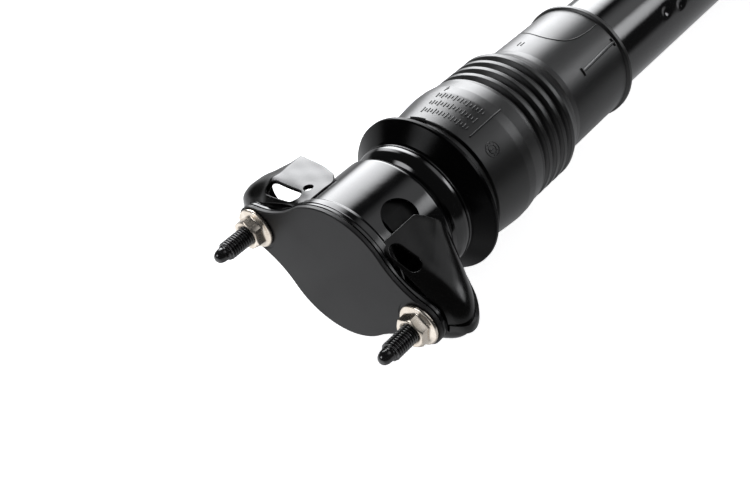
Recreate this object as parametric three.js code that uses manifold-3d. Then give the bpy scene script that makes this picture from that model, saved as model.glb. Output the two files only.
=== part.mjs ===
// Strut assembly: a two-stud top mount, a ribbed dust boot and a twin-tube damper with a rubber-bushed
// lower eye. Millimetres. +X runs down the strut axis from the mount's flat face to the lower eye, +Y runs
// along the line through both studs, +Z is up. The origin is the centre of the mount's flat face.
// The damper is drawn fully extended.

import * as THREE from 'three';
import { mergeVertices } from 'three/addons/utils/BufferGeometryUtils.js';
import Module from 'manifold-3d';

const wasm = await Module();
wasm.setup();

// ---- Driving dimensions ----

const GAP = 0.3;                 // between pieces that touch
const RUNNING = 0.05;            // radial clearance of a sliding or turning fit
const ROUND = 28;                // facets around a large turned piece
const FINE_ROUND = 24;           // facets around the rod, the piston and what runs on them
const MID_ROUND = 20;            // facets around a middle-sized turned piece
const BOOT_ROUND = 32;           // facets around the dust boot
const SMALL_ROUND = 16;          // facets around a small turned piece

const STUD_OFFSET = 51;          // stud axis from the strut axis
const STUD_R = 5;                // M10 stud
const STUD_TIP_X = -29;
const EAR_R = 11.9;              // end radius of the mount's outline
const BULGE_R = 37.3;            // middle radius of the mount's outline
const WAIST_R = 45;              // hollow curve between bulge and ear
const SHEET = 2.5;               // pressed steel thickness
const FACE_SHEET = 2.4;
const SEAT_R = 12.6;             // lowered seat round each stud, wider than the ear
const SEAT_DEPTH = 0.3;

const CUP_R = 35.5;              // outside of the drawn cup
const CUP_SHOULDER_X = 45.4;
const CUP_BACK_X = 50;
const CUP_LIP_R = 36.7;          // stiffening step at the cup's mouth
const CUP_LIP_X = 8.2;
const CUP_MOUTH_R = 20;          // hole in the back of the cup

const DISH_START_X = CUP_BACK_X + GAP;
const DISH_RIM_R = 44.4;
const DISH_RIM_X = 72.5;

const BOOT_START_X = 74;
const BOOT_END_X = 214.8;
const BOOT_WALL = 2.2;
const RIB_COUNT = 4;
const RIB_START_X = 121;
const RIB_PITCH = 7;
const RIB_CREST_R = 39.4;
const RIB_ROOT_R = 37.2;

const ROD_R = 7;
const ROD_TOP_X = 7.5;
const ROD_THREAD_R = 6;
const ROD_TENON_R = 5;           // where the piston is clamped

const TUBE_R = 29;
const TUBE_WALL = 1.8;
const TUBE_TOP_X = 198;
const TUBE_END_X = 432;
const INNER_TUBE_R = 19;
const BORE_R = 17.5;

const EYE_X = 461;
const EYE_R = 21;
const EYE_BORE_R = 17.8;
const EYE_WIDTH = 34;
const BOLT_R = 6.1;
const SLEEVE_WIDTH = 44;

const NUT_FLATS = 15;            // M10 flange nut

// ---- Solids from three.js geometries ----

function solid(geometry) {
  const bare = new THREE.BufferGeometry();
  bare.setAttribute('position', geometry.attributes.position.clone());
  const order = geometry.index ? Array.from(geometry.index.array) : null;
  if (order) {
    bare.setIndex(order);
  }
  const merged = mergeVertices(bare, 1e-4);
  const all = merged.index.array;
  const kept = [];
  for (let i = 0; i < all.length; i += 3) {
    const [a, b, c] = [all[i], all[i + 1], all[i + 2]];
    if (a !== b && b !== c && c !== a) {
      kept.push(a, b, c);
    }
  }
  const vertProperties = new Float32Array(merged.attributes.position.array);
  const triVerts = new Uint32Array(kept);
  return new wasm.Manifold(new wasm.Mesh({ numProp: 3, vertProperties, triVerts }));
}

function geometryOf(manifold) {
  const mesh = manifold.getMesh();
  const geometry = new THREE.BufferGeometry();
  geometry.setAttribute('position', new THREE.BufferAttribute(new Float32Array(mesh.vertProperties), 3));
  geometry.setIndex(new THREE.BufferAttribute(new Uint32Array(mesh.triVerts), 1));
  geometry.computeVertexNormals();
  return geometry;
}

function signedArea(points) {
  let sum = 0;
  points.forEach((p, i) => {
    const q = points[(i + 1) % points.length];
    sum += p[0] * q[1] - q[0] * p[1];
  });
  return sum / 2;
}

// A turned piece about +X. The profile is a closed loop of [x, radius].
function turned(profile, facets = ROUND) {
  const loop = signedArea(profile) > 0 ? profile.slice().reverse() : profile.slice();
  const points = loop.map(([x, r]) => new THREE.Vector2(r, x));
  points.push(points[0].clone());
  const geometry = new THREE.LatheGeometry(points, facets);
  geometry.rotateZ(-Math.PI / 2);
  return solid(geometry);
}

function ring(x0, x1, outer, inner, facets = ROUND) {
  return turned([[x0, inner], [x0, outer], [x1, outer], [x1, inner]], facets);
}

// A plain round bar along +X.
function bar(x0, x1, radius, facets = SMALL_ROUND) {
  const geometry = new THREE.CylinderGeometry(radius, radius, x1 - x0, facets);
  geometry.rotateZ(-Math.PI / 2);
  geometry.translate((x0 + x1) / 2, 0, 0);
  return solid(geometry);
}

// An outline in the YZ plane, extruded along +X.
function extruded(shape, x0, x1, curveSegments = 7) {
  const geometry = new THREE.ExtrudeGeometry(shape, { depth: x1 - x0, bevelEnabled: false, curveSegments });
  const toRow = new THREE.Matrix4().set(0, 0, 1, x0, 1, 0, 0, 0, 0, 1, 0, 0, 0, 0, 0, 1);
  geometry.applyMatrix4(toRow);
  return solid(geometry);
}

function hexPrism(x0, x1, acrossFlats) {
  const geometry = new THREE.CylinderGeometry(
    acrossFlats / Math.sqrt(3), acrossFlats / Math.sqrt(3), x1 - x0, 6);
  geometry.rotateZ(-Math.PI / 2);
  geometry.translate((x0 + x1) / 2, 0, 0);
  return solid(geometry);
}

// The mount's outline: a round bulge with an ear at each stud, joined by hollow curves.
function mountOutline() {
  const toBulge = BULGE_R + WAIST_R;
  const toEar = EAR_R + WAIST_R;
  const waistY = (toBulge ** 2 - toEar ** 2 + STUD_OFFSET ** 2) / (2 * STUD_OFFSET);
  const waistZ = Math.sqrt(toBulge ** 2 - waistY ** 2);
  const bulgeAngle = Math.atan2(waistZ, waistY);
  const earAngle = Math.atan2(waistZ, waistY - STUD_OFFSET);
  const shape = new THREE.Shape();
  shape.absarc(STUD_OFFSET, 0, EAR_R, -earAngle, earAngle, false);
  shape.absarc(waistY, waistZ, WAIST_R, earAngle - Math.PI, bulgeAngle - Math.PI, true);
  shape.absarc(0, 0, BULGE_R, bulgeAngle, Math.PI - bulgeAngle, false);
  shape.absarc(-waistY, waistZ, WAIST_R, -bulgeAngle, -earAngle, true);
  shape.absarc(-STUD_OFFSET, 0, EAR_R, Math.PI - earAngle, Math.PI + earAngle, false);
  shape.absarc(-waistY, -waistZ, WAIST_R, earAngle, bulgeAngle, true);
  shape.absarc(0, 0, BULGE_R, Math.PI + bulgeAngle, 2 * Math.PI - bulgeAngle, false);
  shape.absarc(waistY, -waistZ, WAIST_R, Math.PI - bulgeAngle, Math.PI - earAngle, true);
  return shape;
}

// ---- The model ----

const group = new THREE.Group();

const FINISHES = {
  satinBlack: { color: 0x1b1b1d, roughness: 0.45, metalness: 0.3 },
  glossBlack: { color: 0x0a0a0b, roughness: 0.12, metalness: 0.4 },
  plating: { color: 0xc9c2b4, roughness: 0.3, metalness: 0.9 },
  blackSteel: { color: 0x151515, roughness: 0.4, metalness: 0.6 },
  brightSteel: { color: 0xb4b6ba, roughness: 0.2, metalness: 1.0 },
  chrome: { color: 0xd8dadd, roughness: 0.06, metalness: 1.0 },
  rubber: { color: 0x161616, roughness: 0.8, metalness: 0.0 },
  foam: { color: 0xb9a46a, roughness: 0.9, metalness: 0.0 },
  bootPlastic: { color: 0x1a1b1c, roughness: 0.5, metalness: 0.0 },
  sintered: { color: 0x6b6d70, roughness: 0.6, metalness: 0.8 },
  bandPlastic: { color: 0x3f6d5e, roughness: 0.5, metalness: 0.0 },
};

function add(name, manifold, finish) {
  const mesh = new THREE.Mesh(geometryOf(manifold), new THREE.MeshStandardMaterial(FINISHES[finish]));
  mesh.name = name;
  group.add(mesh);
}

// Top mount: the face plate, and the drawn housing behind it.

const studHole = bar(STUD_TIP_X, 2 * CUP_LIP_X, STUD_R + GAP);

function withStudHoles(manifold) {
  return manifold
    .subtract(studHole.translate([0, STUD_OFFSET, 0]))
    .subtract(studHole.translate([0, -STUD_OFFSET, 0]));
}

// The face plate's middle is its mating face. Round each stud it is pressed down, for the nut's flange.
function facePlate() {
  const seat = bar(-1, SEAT_DEPTH, SEAT_R, ROUND);
  const plate = withStudHoles(extruded(mountOutline(), 0, FACE_SHEET));
  return plate.subtract(seat.translate([0, STUD_OFFSET, 0])).subtract(seat.translate([0, -STUD_OFFSET, 0]));
}

// The cup's outer curve: straight wall, round shoulder, flat back.
function cupCurve(radius, backX) {
  const shoulder = CUP_BACK_X - CUP_SHOULDER_X;
  const corner = shoulder - (CUP_BACK_X - backX);
  const points = [];
  const steps = 5;
  for (let i = 0; i <= steps; i += 1) {
    const angle = (i / steps) * Math.PI / 2;
    points.push([backX - corner + corner * Math.sin(angle), radius - corner + corner * Math.cos(angle)]);
  }
  return points;
}

function mountHousing() {
  const flangeX = FACE_SHEET + GAP;
  const outline = extruded(mountOutline(), flangeX, flangeX + SHEET);
  const mouthStep = [[CUP_LIP_X, CUP_LIP_R], [CUP_LIP_X + 1.5, CUP_R]];
  const outer = [[flangeX + 0.5, 0], [flangeX + 0.5, CUP_LIP_R], ...mouthStep]
    .concat(cupCurve(CUP_R, CUP_BACK_X), [[CUP_BACK_X, 0]]);
  const inner = [[flangeX - 5, 0], [flangeX - 5, CUP_R - SHEET]]
    .concat(cupCurve(CUP_R - SHEET, CUP_BACK_X - SHEET), [[CUP_BACK_X - SHEET, 0]]);
  const mouth = bar(CUP_BACK_X - 2 * SHEET, CUP_BACK_X + SHEET, CUP_MOUTH_R, ROUND);
  const windowX = 25.6;
  const windowR = 10.3;
  const windowTilt = 34;
  const window = solid(new THREE.CylinderGeometry(windowR, windowR, CUP_R, SMALL_ROUND)
    .rotateX(Math.PI / 2)
    .translate(windowX, 0, CUP_R))
    .rotate([windowTilt, 0, 0]);
  return withStudHoles(outline.add(turned(outer)).subtract(turned(inner)).subtract(mouth).subtract(window));
}

// Each wing is a hollow pressed hood that runs from its stud's ear back along the cup. Its flank is flat from
// the free edge, which lies on the cup, out to a crease, and from there it is rounded over to its full reach.
// Stations along +X: [x, reach from the strut axis, crease y, crease z].
const LEFT_STATIONS = [
  [5.5, 63.2, 50.5, 12.2],
  [7.5, 66.8, 51.5, 15.0],
  [10, 70.0, 52.5, 17.2],
  [13.5, 71.6, 53.4, 18.8],
  [17, 71.8, 54.0, 19.6],
  [22, 71.2, 54.0, 19.7],
  [27, 69.2, 54.0, 19.7],
  [32, 65.4, 54.0, 19.7],
  [36, 60.8, 54.0, 19.7],
  [38.6, 57.0, 54.0, 19.7],
];
const RIGHT_STATIONS = [
  [5.5, 63.2, 50.2, 12.2],
  [7.5, 67.0, 54.0, 14.0],
  [10, 70.0, 56.5, 15.6],
  [13.5, 71.8, 57.5, 17.0],
  [18, 71.2, 56.0, 18.0],
  [23, 67.8, 52.0, 19.6],
  [28, 62.4, 46.6, 21.4],
  [33, 55.0, 41.0, 23.4],
  [38.6, 46.0, 34.8, 25.4],
];
const WING_SHEET = 2.4;
const WING_EDGE_Y = 23;          // free edge of the flank, on the cup
const WING_EDGE_Z = 29.4;
const WING_ROUND = 8;             // steps from the crease round to the full reach
const WING_SLOT_R = 5.2;

function wingSection(x, reach, creaseY, creaseZ, edgeY, edgeZ) {
  const half = [[edgeY, edgeZ]];
  for (let i = 0; i <= WING_ROUND; i += 1) {
    const angle = (i / WING_ROUND) * Math.PI / 2;
    half.push([creaseY + (reach - creaseY) * Math.sin(angle), creaseZ * Math.cos(angle)]);
  }
  const lower = half.slice(0, -1).reverse().map(([y, z]) => [y, -z]);
  return half.concat(lower).map(([y, z]) => [x, y, z]);
}

// Skins a list of closed sections, each a list of [x, y, z] with the same number of points.
function lofted(sections) {
  const count = sections[0].length;
  const vertices = sections.flat(2);
  const index = [];
  for (let s = 0; s + 1 < sections.length; s += 1) {
    for (let i = 0; i < count; i += 1) {
      const a = s * count + i;
      const b = s * count + (i + 1) % count;
      index.push(a, a + count, b, b, a + count, b + count);
    }
  }
  const capAt = (start, flip) => {
    for (let i = 1; i + 1 < count; i += 1) {
      index.push(start, start + (flip ? i : i + 1), start + (flip ? i + 1 : i));
    }
  };
  capAt(0, true);
  capAt((sections.length - 1) * count, false);
  const geometry = new THREE.BufferGeometry();
  geometry.setAttribute('position', new THREE.Float32BufferAttribute(vertices, 3));
  geometry.setIndex(index);
  return solid(geometry);
}

// A slot through both flanks, rounded at its ends, from [x, y] to [x, y].
function slotTool([x0, y0], [x1, y1], radius) {
  const turn = Math.atan2(y1 - y0, x1 - x0);
  const shape = new THREE.Shape();
  shape.absarc(x0, y0, radius, turn + Math.PI / 2, turn + 1.5 * Math.PI, false);
  shape.absarc(x1, y1, radius, turn - Math.PI / 2, turn + Math.PI / 2, false);
  const options = { depth: 80, bevelEnabled: false, curveSegments: 8 };
  return solid(new THREE.ExtrudeGeometry(shape, options).translate(0, 0, -40));
}

function wing(stations) {
  const last = stations.length - 1;
  const outer = lofted(stations.map((s) => wingSection(...s, WING_EDGE_Y, WING_EDGE_Z)));
  const hollow = lofted(stations.map(([x, reach, creaseY, creaseZ], i) => {
    const hollowX = i === 0 ? x - 3 : (i === last ? x - WING_SHEET : x);
    return wingSection(hollowX, reach - WING_SHEET, creaseY - 0.4, creaseZ - WING_SHEET, 0, 34.2);
  }));
  const cup = bar(-5, CUP_BACK_X + 5, CUP_R + GAP, ROUND);
  const lip = bar(-5, CUP_LIP_X + 1.5 + GAP, CUP_LIP_R + GAP, ROUND);
  return outer.subtract(hollow).subtract(cup).subtract(lip);
}

// The left wing is open at the back and has a long slot and a drain hole. The right wing has a short slot.
function wingLeft() {
  const backR = 6;
  const backX = 35;
  const backZ = 9;
  const back = new THREE.Shape();
  back.absarc(backX, backZ, backR, Math.PI / 2, Math.PI, false);
  back.absarc(backX, -backZ, backR, Math.PI, 1.5 * Math.PI, false);
  back.lineTo(CUP_BACK_X, -backZ - backR);
  back.lineTo(CUP_BACK_X, backZ + backR);
  const opening = solid(new THREE.ExtrudeGeometry(back, { depth: 60, bevelEnabled: false, curveSegments: 6 })
    .rotateX(Math.PI / 2)
    .translate(0, 90, 0));
  const drainR = 3.2;
  const drain = solid(new THREE.CylinderGeometry(drainR, drainR, 20, SMALL_ROUND)
    .rotateX(Math.PI / 2)
    .translate(16.4, 30.6, 24));
  return wing(LEFT_STATIONS)
    .subtract(slotTool([6.5, 34], [10.6, 50.2], WING_SLOT_R))
    .subtract(opening)
    .subtract(drain);
}

function wingRight() {
  return wing(RIGHT_STATIONS)
    .subtract(slotTool([5.5, 27], [9.2, 37.6], WING_SLOT_R))
    .mirror([0, 1, 0]);
}

// Stud: a weld head behind the flange, a threaded shank and a reduced guide tip.
function stud() {
  const headX = FACE_SHEET + SHEET + 2 * GAP;
  const headR = 7;
  const tipR = 3.6;
  return turned([
    [STUD_TIP_X, 0], [STUD_TIP_X + 0.6, 2.2], [STUD_TIP_X + 2, 3.1], [STUD_TIP_X + 3.4, tipR],
    [STUD_TIP_X + 6, tipR], [STUD_TIP_X + 7.5, STUD_R], [headX, STUD_R], [headX, headR],
    [headX + 2, headR], [headX + 2, 0],
  ], SMALL_ROUND);
}

function flangeNut() {
  const seatX = SEAT_DEPTH - GAP;
  const topX = -8;
  const flangeR = 10.9;
  const crownR = 7.2;
  const hexR = 8.7;
  const flange = turned([
    [seatX, 0], [seatX, flangeR], [seatX - 1.6, flangeR], [seatX - 2.8, flangeR - 1.6], [seatX - 2.8, 0],
  ], MID_ROUND);
  const crown = turned([[topX, 0], [topX, crownR], [topX + 0.9, hexR], [seatX, hexR], [seatX, 0]], MID_ROUND);
  const hex = hexPrism(topX, seatX - 0.5, NUT_FLATS).intersect(crown);
  return flange.add(hex).subtract(bar(-20, 5, STUD_R + GAP));
}

add('face_plate', facePlate(), 'satinBlack');
add('mount_housing', mountHousing(), 'glossBlack');
add('wing_left', wingLeft(), 'glossBlack');
add('wing_right', wingRight(), 'glossBlack');
for (const [side, y] of [['left', STUD_OFFSET], ['right', -STUD_OFFSET]]) {
  add(`stud_${side}`, stud().translate([0, y, 0]), 'blackSteel');
  add(`flange_nut_${side}`, flangeNut().translate([0, y, 0]), 'plating');
}

// Rubber isolator in the cup, clamped on the rod between two washers.

const ISOLATOR_X0 = 19;
const ISOLATOR_X1 = CUP_BACK_X - SHEET - GAP;
const ISOLATOR_SLEEVE_R = 11;
const WASHER_R = 17;
const WASHER_SHEET = 2.5;
const UPPER_WASHER_X = ISOLATOR_X0 - GAP - WASHER_SHEET;
const ROD_NUT_X = UPPER_WASHER_X - GAP;
const ROD_NUT_FLATS = 19;
const HEX_NUT_LENGTH = 7;

const cupInside = turned([[ISOLATOR_X0, 0], [ISOLATOR_X0, CUP_R - SHEET - GAP]]
  .concat(cupCurve(CUP_R - SHEET - GAP, ISOLATOR_X1), [[ISOLATOR_X1, 0]]));

add('isolator_rubber', cupInside.subtract(bar(0, CUP_BACK_X, ISOLATOR_SLEEVE_R + GAP)), 'rubber');
add('isolator_sleeve', ring(ISOLATOR_X0, ISOLATOR_X1, ISOLATOR_SLEEVE_R, ROD_THREAD_R + GAP, SMALL_ROUND),
  'brightSteel');
add('upper_washer', ring(UPPER_WASHER_X, UPPER_WASHER_X + WASHER_SHEET, WASHER_R, ROD_THREAD_R + GAP,
  SMALL_ROUND), 'brightSteel');

const rodNut = hexPrism(ROD_NUT_X - HEX_NUT_LENGTH, ROD_NUT_X, ROD_NUT_FLATS)
  .subtract(bar(0, CUP_BACK_X, ROD_THREAD_R + GAP));
add('rod_nut', rodNut, 'plating');

// Dished seat behind the mount: it carries the bump stop and the dust boot.

function dish() {
  const floorX = DISH_START_X;
  const hubR = ROD_THREAD_R + GAP;
  const outside = [
    [floorX, hubR], [floorX, 29.4], [floorX + 0.9, 31.4], [floorX + 2.8, 33.4], [floorX + 5.2, 34.7],
    [floorX + 7.6, 35.3], [floorX + 9.6, 35.3], [floorX + 11.4, 34.6], [floorX + 12.8, 35.6],
    [DISH_RIM_X - 3.2, DISH_RIM_R - 0.4], [DISH_RIM_X - 2.2, DISH_RIM_R], [DISH_RIM_X - 0.6, DISH_RIM_R],
    [DISH_RIM_X, DISH_RIM_R - 0.8],
  ];
  const inside = [
    [DISH_RIM_X, DISH_RIM_R - 2.2], [DISH_RIM_X - 1.4, DISH_RIM_R - 2.9], [floorX + 14.2, 33.6],
    [floorX + 12, 32.1], [floorX + 9.4, 32.8], [floorX + 7.6, 32.8], [floorX + 5.8, 32.3],
    [floorX + 3.8, 31.2], [floorX + SHEET, 29.2], [floorX + SHEET, hubR],
  ];
  return turned(outside.concat(inside));
}

add('boot_dish', dish(), 'glossBlack');

const CLAMP_X = DISH_START_X + SHEET + GAP;

// Rod: threaded top through the mount, hard chromed shank, tenon for the piston and its valves.

const PISTON_X = 243;
const PISTON_LENGTH = 15;
const CHECK_LIFT = 1.2;
const TENON_X = PISTON_X - 6.6;
const ROD_END_X = PISTON_X + PISTON_LENGTH + 13;

add('piston_rod', turned([
  [ROD_TOP_X, 0], [ROD_TOP_X, ROD_THREAD_R - 0.8], [ROD_TOP_X + 0.8, ROD_THREAD_R], [CLAMP_X, ROD_THREAD_R],
  [CLAMP_X, ROD_R], [TENON_X, ROD_R], [TENON_X, ROD_TENON_R], [ROD_END_X, ROD_TENON_R], [ROD_END_X, 0],
], FINE_ROUND), 'chrome');

// Bump stop: a foam column with two waists, on the rod inside the boot.

const BUMP_X0 = CLAMP_X;
const BUMP_LENGTH = 58;
const BUMP_R = 20;

function bumpStop() {
  const waist = 3.2;
  const points = [[BUMP_X0, ROD_R + 0.6], [BUMP_X0, BUMP_R - 1]];
  const steps = 12;
  for (let i = 0; i <= steps; i += 1) {
    const along = i / steps;
    const taper = along > 0.66 ? (along - 0.66) * 14 : 0;
    const wave = waist * (0.5 - 0.5 * Math.cos(along * 3 * 2 * Math.PI));
    points.push([BUMP_X0 + 2 + along * (BUMP_LENGTH - 3), BUMP_R - wave - taper]);
  }
  points.push([BUMP_X0 + BUMP_LENGTH, 12], [BUMP_X0 + BUMP_LENGTH, ROD_R + 0.6]);
  return turned(points, MID_ROUND);
}

add('bump_stop', bumpStop(), 'foam');

// Dust boot: collar, barrel, ribs, long sleeve and end rim, moulded in one piece.

function bootOutside() {
  const points = [
    [BOOT_START_X, 36.4], [80.6, 37.2], [81.4, 38.6], [88, 39.3], [96, 40.2], [104, 40.9],
    [110, 40.7], [115, 39.9], [118.5, RIB_CREST_R], [RIB_START_X - 0.8, RIB_CREST_R],
  ];
  for (let i = 0; i < RIB_COUNT; i += 1) {
    const x = RIB_START_X + i * RIB_PITCH;
    points.push([x + 0.6, RIB_ROOT_R], [x + 2.2, RIB_ROOT_R], [x + 3.6, RIB_CREST_R], [x + 6, RIB_CREST_R]);
  }
  points.push([151.5, 38], [154.5, 36], [157.5, 34.6], [162, 33.9], [200, 33.6], [211, 33.5]);
  points.push([212.2, 34.8], [BOOT_END_X - 0.4, 34.9], [BOOT_END_X, 34.4]);
  return points;
}

function bootInside() {
  return [
    [BOOT_END_X, 31.4], [162, 31.6], [157, 32.4], [152.5, 34.8], [149, RIB_ROOT_R - BOOT_WALL],
    [119, RIB_ROOT_R - BOOT_WALL], [110, 38.3], [104, 38.6], [96, 38], [82, 36.2], [BOOT_START_X, 34],
  ];
}

add('dust_boot', turned(bootOutside().concat(bootInside()), BOOT_ROUND), 'bootPlastic');

// Damper: reserve tube with a rolled-over top, seal, rod guide, pressure tube.

const TUBE_INNER_R = TUBE_R - TUBE_WALL;
const ROLL_R = 22;
const SEAL_X = TUBE_TOP_X + TUBE_WALL + GAP;
const SEAL_LENGTH = 6;
const GUIDE_X = SEAL_X + SEAL_LENGTH + GAP;
const GUIDE_FLANGE = 9;
const GUIDE_LENGTH = 19;
const GUIDE_BUSH_R = 8.2;
const INNER_TUBE_X0 = GUIDE_X + GUIDE_FLANGE + GAP;
const INNER_TUBE_X1 = 412;

add('reserve_tube', turned([
  [TUBE_TOP_X, ROLL_R], [TUBE_TOP_X, TUBE_R - 2.4], [TUBE_TOP_X + 0.8, TUBE_R - 0.8],
  [TUBE_TOP_X + 2.6, TUBE_R], [TUBE_END_X, TUBE_R], [TUBE_END_X, TUBE_INNER_R],
  [TUBE_TOP_X + TUBE_WALL, TUBE_INNER_R], [TUBE_TOP_X + TUBE_WALL, ROLL_R],
]), 'glossBlack');
add('rod_seal', turned([
  [SEAL_X, ROD_R + 1.6], [SEAL_X, TUBE_INNER_R - GAP], [SEAL_X + SEAL_LENGTH, TUBE_INNER_R - GAP],
  [SEAL_X + SEAL_LENGTH, ROD_R + 2.4], [SEAL_X + 4.4, ROD_R + RUNNING], [SEAL_X + 1.2, ROD_R + RUNNING],
]), 'rubber');
add('rod_guide', turned([
  [GUIDE_X, GUIDE_BUSH_R + GAP], [GUIDE_X, TUBE_INNER_R - GAP], [GUIDE_X + GUIDE_FLANGE, TUBE_INNER_R - GAP],
  [GUIDE_X + GUIDE_FLANGE, BORE_R - GAP], [GUIDE_X + GUIDE_LENGTH, BORE_R - GAP],
  [GUIDE_X + GUIDE_LENGTH, GUIDE_BUSH_R + GAP],
]), 'sintered');
add('guide_bush', ring(GUIDE_X + 1, GUIDE_X + GUIDE_LENGTH - 1, GUIDE_BUSH_R, ROD_R + RUNNING, FINE_ROUND),
  'bandPlastic');
add('pressure_tube', ring(INNER_TUBE_X0, INNER_TUBE_X1, INNER_TUBE_R, BORE_R, FINE_ROUND), 'brightSteel');

// Piston: rebound stop, lifting check disc, piston, loose guide band, rebound shims, nut.

const STOP_X = GUIDE_X + GUIDE_LENGTH + GAP;
const STOP_LENGTH = 6;
const PISTON_R = BORE_R - 0.9;
const BAND_X = PISTON_X + 3;
const BAND_LENGTH = 9;
const BAND_GROOVE = 1.1;
const DISC_R = 13.5;
const DISC_SHEET = 0.9;
const SPACER_R = 7;
const BORE_CLEAR = ROD_TENON_R + GAP;
const SHIM_X = PISTON_X + PISTON_LENGTH + GAP;
const PISTON_NUT_X = SHIM_X + 2.4 + GAP;
const PISTON_NUT_FLATS = 16;

add('rebound_stop', ring(STOP_X, STOP_X + STOP_LENGTH, 12, ROD_R + GAP, MID_ROUND), 'rubber');
add('lift_limit_washer', ring(TENON_X + GAP, TENON_X + GAP + 2, 12, BORE_CLEAR, MID_ROUND), 'brightSteel');
add('disc_spacer', ring(TENON_X + 2 * GAP + 2, PISTON_X - GAP, SPACER_R, BORE_CLEAR, SMALL_ROUND),
  'brightSteel');
add('check_disc', ring(PISTON_X - GAP - DISC_SHEET, PISTON_X - GAP, DISC_R, SPACER_R + 0.15, MID_ROUND),
  'brightSteel');

function passages(x0, x1, pitchR, radius, count) {
  const holes = [];
  for (let i = 0; i < count; i += 1) {
    const angle = (i / count) * 2 * Math.PI;
    holes.push(bar(x0, x1, radius, 10).translate([0, pitchR * Math.cos(angle), pitchR * Math.sin(angle)]));
  }
  return holes;
}

function drilled(manifold, holes) {
  return holes.reduce((body, hole) => body.subtract(hole), manifold);
}

const pistonBlank = turned([
  [PISTON_X, BORE_CLEAR], [PISTON_X, PISTON_R], [BAND_X - RUNNING, PISTON_R],
  [BAND_X - RUNNING, PISTON_R - BAND_GROOVE], [BAND_X + BAND_LENGTH + RUNNING, PISTON_R - BAND_GROOVE],
  [BAND_X + BAND_LENGTH + RUNNING, PISTON_R], [PISTON_X + PISTON_LENGTH, PISTON_R],
  [PISTON_X + PISTON_LENGTH, BORE_CLEAR],
], FINE_ROUND);
add('piston', drilled(pistonBlank, passages(PISTON_X - 1, PISTON_X + PISTON_LENGTH + 1, 10.6, 1.5, 6)),
  'sintered');
add('piston_band', ring(BAND_X, BAND_X + BAND_LENGTH, BORE_R - RUNNING, PISTON_R - BAND_GROOVE + RUNNING,
  FINE_ROUND), 'bandPlastic');
add('rebound_shims', turned([
  [SHIM_X, BORE_CLEAR], [SHIM_X, 12.6], [SHIM_X + 0.8, 12.6], [SHIM_X + 0.8, 10.6], [SHIM_X + 1.6, 10.6],
  [SHIM_X + 1.6, 8.6], [SHIM_X + 2.4, 8.6], [SHIM_X + 2.4, BORE_CLEAR],
], MID_ROUND), 'brightSteel');

const pistonNut = hexPrism(PISTON_NUT_X, PISTON_NUT_X + HEX_NUT_LENGTH, PISTON_NUT_FLATS)
  .subtract(bar(PISTON_X, ROD_END_X, BORE_CLEAR));
add('piston_nut', pistonNut, 'plating');

// Base valve at the foot of the pressure tube, and the closed tube end.

const VALVE_X = INNER_TUBE_X1 - 8;
const VALVE_FLANGE_X = INNER_TUBE_X1 + GAP;
const VALVE_END_X = VALVE_FLANGE_X + 5;
const VALVE_PIN_R = 3.5;
const FOOT_SPACER_R = 6;

add('base_valve_body', drilled(turned([
  [VALVE_X, VALVE_PIN_R + GAP], [VALVE_X, BORE_R - GAP], [VALVE_FLANGE_X, BORE_R - GAP],
  [VALVE_FLANGE_X, INNER_TUBE_R + 2.5], [VALVE_END_X, INNER_TUBE_R + 2.5], [VALVE_END_X, VALVE_PIN_R + GAP],
]), passages(VALVE_X - 1, VALVE_END_X + 1, 10, 1.5, 6)), 'sintered');
add('foot_check_disc', ring(VALVE_X - GAP - DISC_SHEET, VALVE_X - GAP, DISC_R, FOOT_SPACER_R + 0.15,
  MID_ROUND), 'brightSteel');
add('foot_spacer', ring(VALVE_X - GAP - DISC_SHEET - CHECK_LIFT - 0.4, VALVE_X - GAP, FOOT_SPACER_R,
  VALVE_PIN_R + GAP, SMALL_ROUND), 'brightSteel');
add('compression_shims', turned([
  [VALVE_END_X + GAP, VALVE_PIN_R + GAP], [VALVE_END_X + GAP, 12.4], [VALVE_END_X + GAP + 0.8, 12.4],
  [VALVE_END_X + GAP + 0.8, 9], [VALVE_END_X + GAP + 1.6, 9], [VALVE_END_X + GAP + 1.6, VALVE_PIN_R + GAP],
], MID_ROUND), 'brightSteel');

const PIN_HEAD_X = VALVE_X - GAP - DISC_SHEET - CHECK_LIFT - 0.4 - GAP;
const PIN_END_X = VALVE_END_X + 2 * GAP + 1.6;
add('valve_pin', turned([
  [PIN_HEAD_X - 2, 0], [PIN_HEAD_X - 2, 10], [PIN_HEAD_X, 10], [PIN_HEAD_X, VALVE_PIN_R],
  [PIN_END_X, VALVE_PIN_R], [PIN_END_X, 6.5], [PIN_END_X + 2, 6.5], [PIN_END_X + 2, 0],
], SMALL_ROUND), 'blackSteel');

// Base cup: pressed into the tube's end, with a rib ring that carries the pressure tube's foot.

const BASE_X0 = VALVE_END_X + GAP;
const BASE_X1 = TUBE_END_X + 4.5;
add('base_cup', turned([
  [BASE_X0, 16.5], [BASE_X0, INNER_TUBE_R + 2.5], [BASE_X0 + 4, 25], [TUBE_END_X - 6, TUBE_INNER_R - GAP],
  [TUBE_END_X + GAP, TUBE_INNER_R - GAP], [TUBE_END_X + GAP, TUBE_R], [TUBE_END_X + 1.6, TUBE_R - 0.6],
  [TUBE_END_X + 3.4, TUBE_R - 4], [BASE_X1, TUBE_R - 10], [BASE_X1, 0],
  [BASE_X1 - SHEET, 0], [BASE_X1 - SHEET, 14],
]), 'glossBlack');

// Lower eye: a ring on a saddle, with a bonded rubber bush and its steel inner sleeve along +Y.

function alongY(manifold) {
  return manifold.rotate([0, 0, 90]).translate([EYE_X, 0, 0]);
}

const BUSH_SLEEVE_R = 9;

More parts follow.
